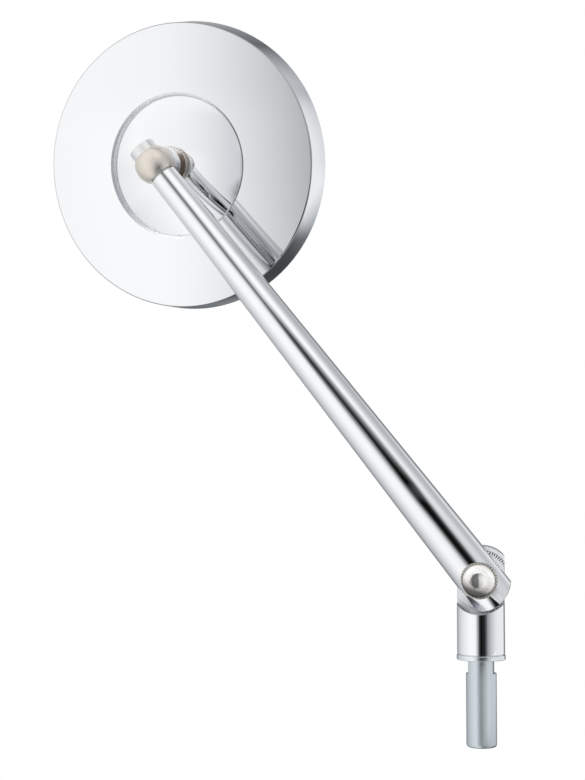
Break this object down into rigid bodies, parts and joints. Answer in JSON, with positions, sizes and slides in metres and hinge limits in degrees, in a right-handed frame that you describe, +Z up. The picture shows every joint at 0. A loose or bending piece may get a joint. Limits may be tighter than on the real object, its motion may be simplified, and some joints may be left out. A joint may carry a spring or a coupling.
{
  "type": "scooter mirror",
  "caption": "Round chrome rear-view mirror with a domed back, a ball swivel, a tapered stem that folds on a half-lap hinge, and a plain round clamp pin at its foot.",
  "frame": {"origin": "on the clamp pin's axis, at the top of its full-round wall (lower shoulder of the wrench flats)", "axes": "+Z up the clamp pin, +Y along the hinge screw away from the polished back's viewer, so the back of the head looks towards -Y; the stem leans towards -X at rest"},
  "size_m": [0.1663, 0.0492, 0.2496],
  "materials": {
    "chrome": "polished chrome plate",
    "zinc_plate": "satin clear zinc plate",
    "stainless": "bright stainless",
    "nickel": "turned and nickel plated",
    "spring_steel": "plain spring steel",
    "foam": "matt foam tape",
    "gasket": "matt black rubber",
    "mirror": "silvered glass"
  },
  "bodies": {
    "base": {"clamp_pin": "zinc_plate", "pin_washer": "zinc_plate", "hinge_sleeve": "chrome", "hinge_friction_washer": "spring_steel"},
    "stem": {"stem": "chrome", "hinge_screw": "stainless", "hinge_lock_washer": "spring_steel", "hinge_nut": "stainless", "swivel_screw": "stainless", "swivel_wave_washer": "spring_steel"},
    "head": {"swivel_ball": "nickel", "neck_lock_washer": "spring_steel", "centre_cap": "chrome", "head_shell": "chrome", "clamp_dish": "spring_steel", "neck_nut": "zinc_plate", "glass_pad": "foam", "mirror_glass": "mirror", "glass_gasket": "gasket"}
  },
  "joints": [
    {"name": "fold_hinge", "type": "hinge", "parent": "base", "child": "stem", "pos_m": [0, 0, 0.0305], "axis": [0, 1, 0], "range_deg": [-40, 116]},
    {"name": "head_swivel", "type": "hinge", "parent": "stem", "child": "head", "pos_m": [-0.11048, 0, 0.1709], "axis": [-0.6184, 0, 0.7859], "continuous": true}
  ]
}
